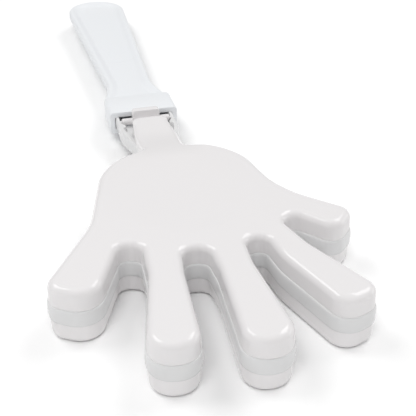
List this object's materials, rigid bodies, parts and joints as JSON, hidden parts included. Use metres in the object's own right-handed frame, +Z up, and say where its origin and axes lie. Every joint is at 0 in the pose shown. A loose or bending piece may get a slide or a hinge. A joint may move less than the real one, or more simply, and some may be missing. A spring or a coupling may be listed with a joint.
{
  "type": "hand clapper",
  "caption": "Plastic noise maker: flat hand shells swing on cross bars either side of a fixed middle hand, on a tapered grip with a square collar.",
  "frame": {"origin": "on the floor under the middle of the lower palm, on the face that the clapper rests on", "axes": "+Y from the fingers towards the grip's end, +Z up through the stack of hands, +X towards the thumbs"},
  "size_m": [0.0945, 0.2839, 0.0177],
  "materials": {
    "handle_white": "smooth moulded, cool white",
    "middle_white": "smooth moulded, neutral white",
    "hand_white": "smooth moulded, warm white"
  },
  "bodies": {
    "handle": {"handle": "handle_white", "middle_hand": "middle_white"},
    "front_hand": {"front_hand": "hand_white"},
    "back_hand": {"back_hand": "hand_white"}
  },
  "joints": [
    {"name": "front_hand_swing", "type": "hinge", "parent": "handle", "child": "front_hand", "pos_m": [0, 0.0715, 0.01085], "axis": [-1, 0, 0], "range_deg": [0, 32]},
    {"name": "back_hand_swing", "type": "hinge", "parent": "handle", "child": "back_hand", "pos_m": [0, 0.0715, 0.00685], "axis": [1, 0, 0], "range_deg": [0, 32]}
  ]
}
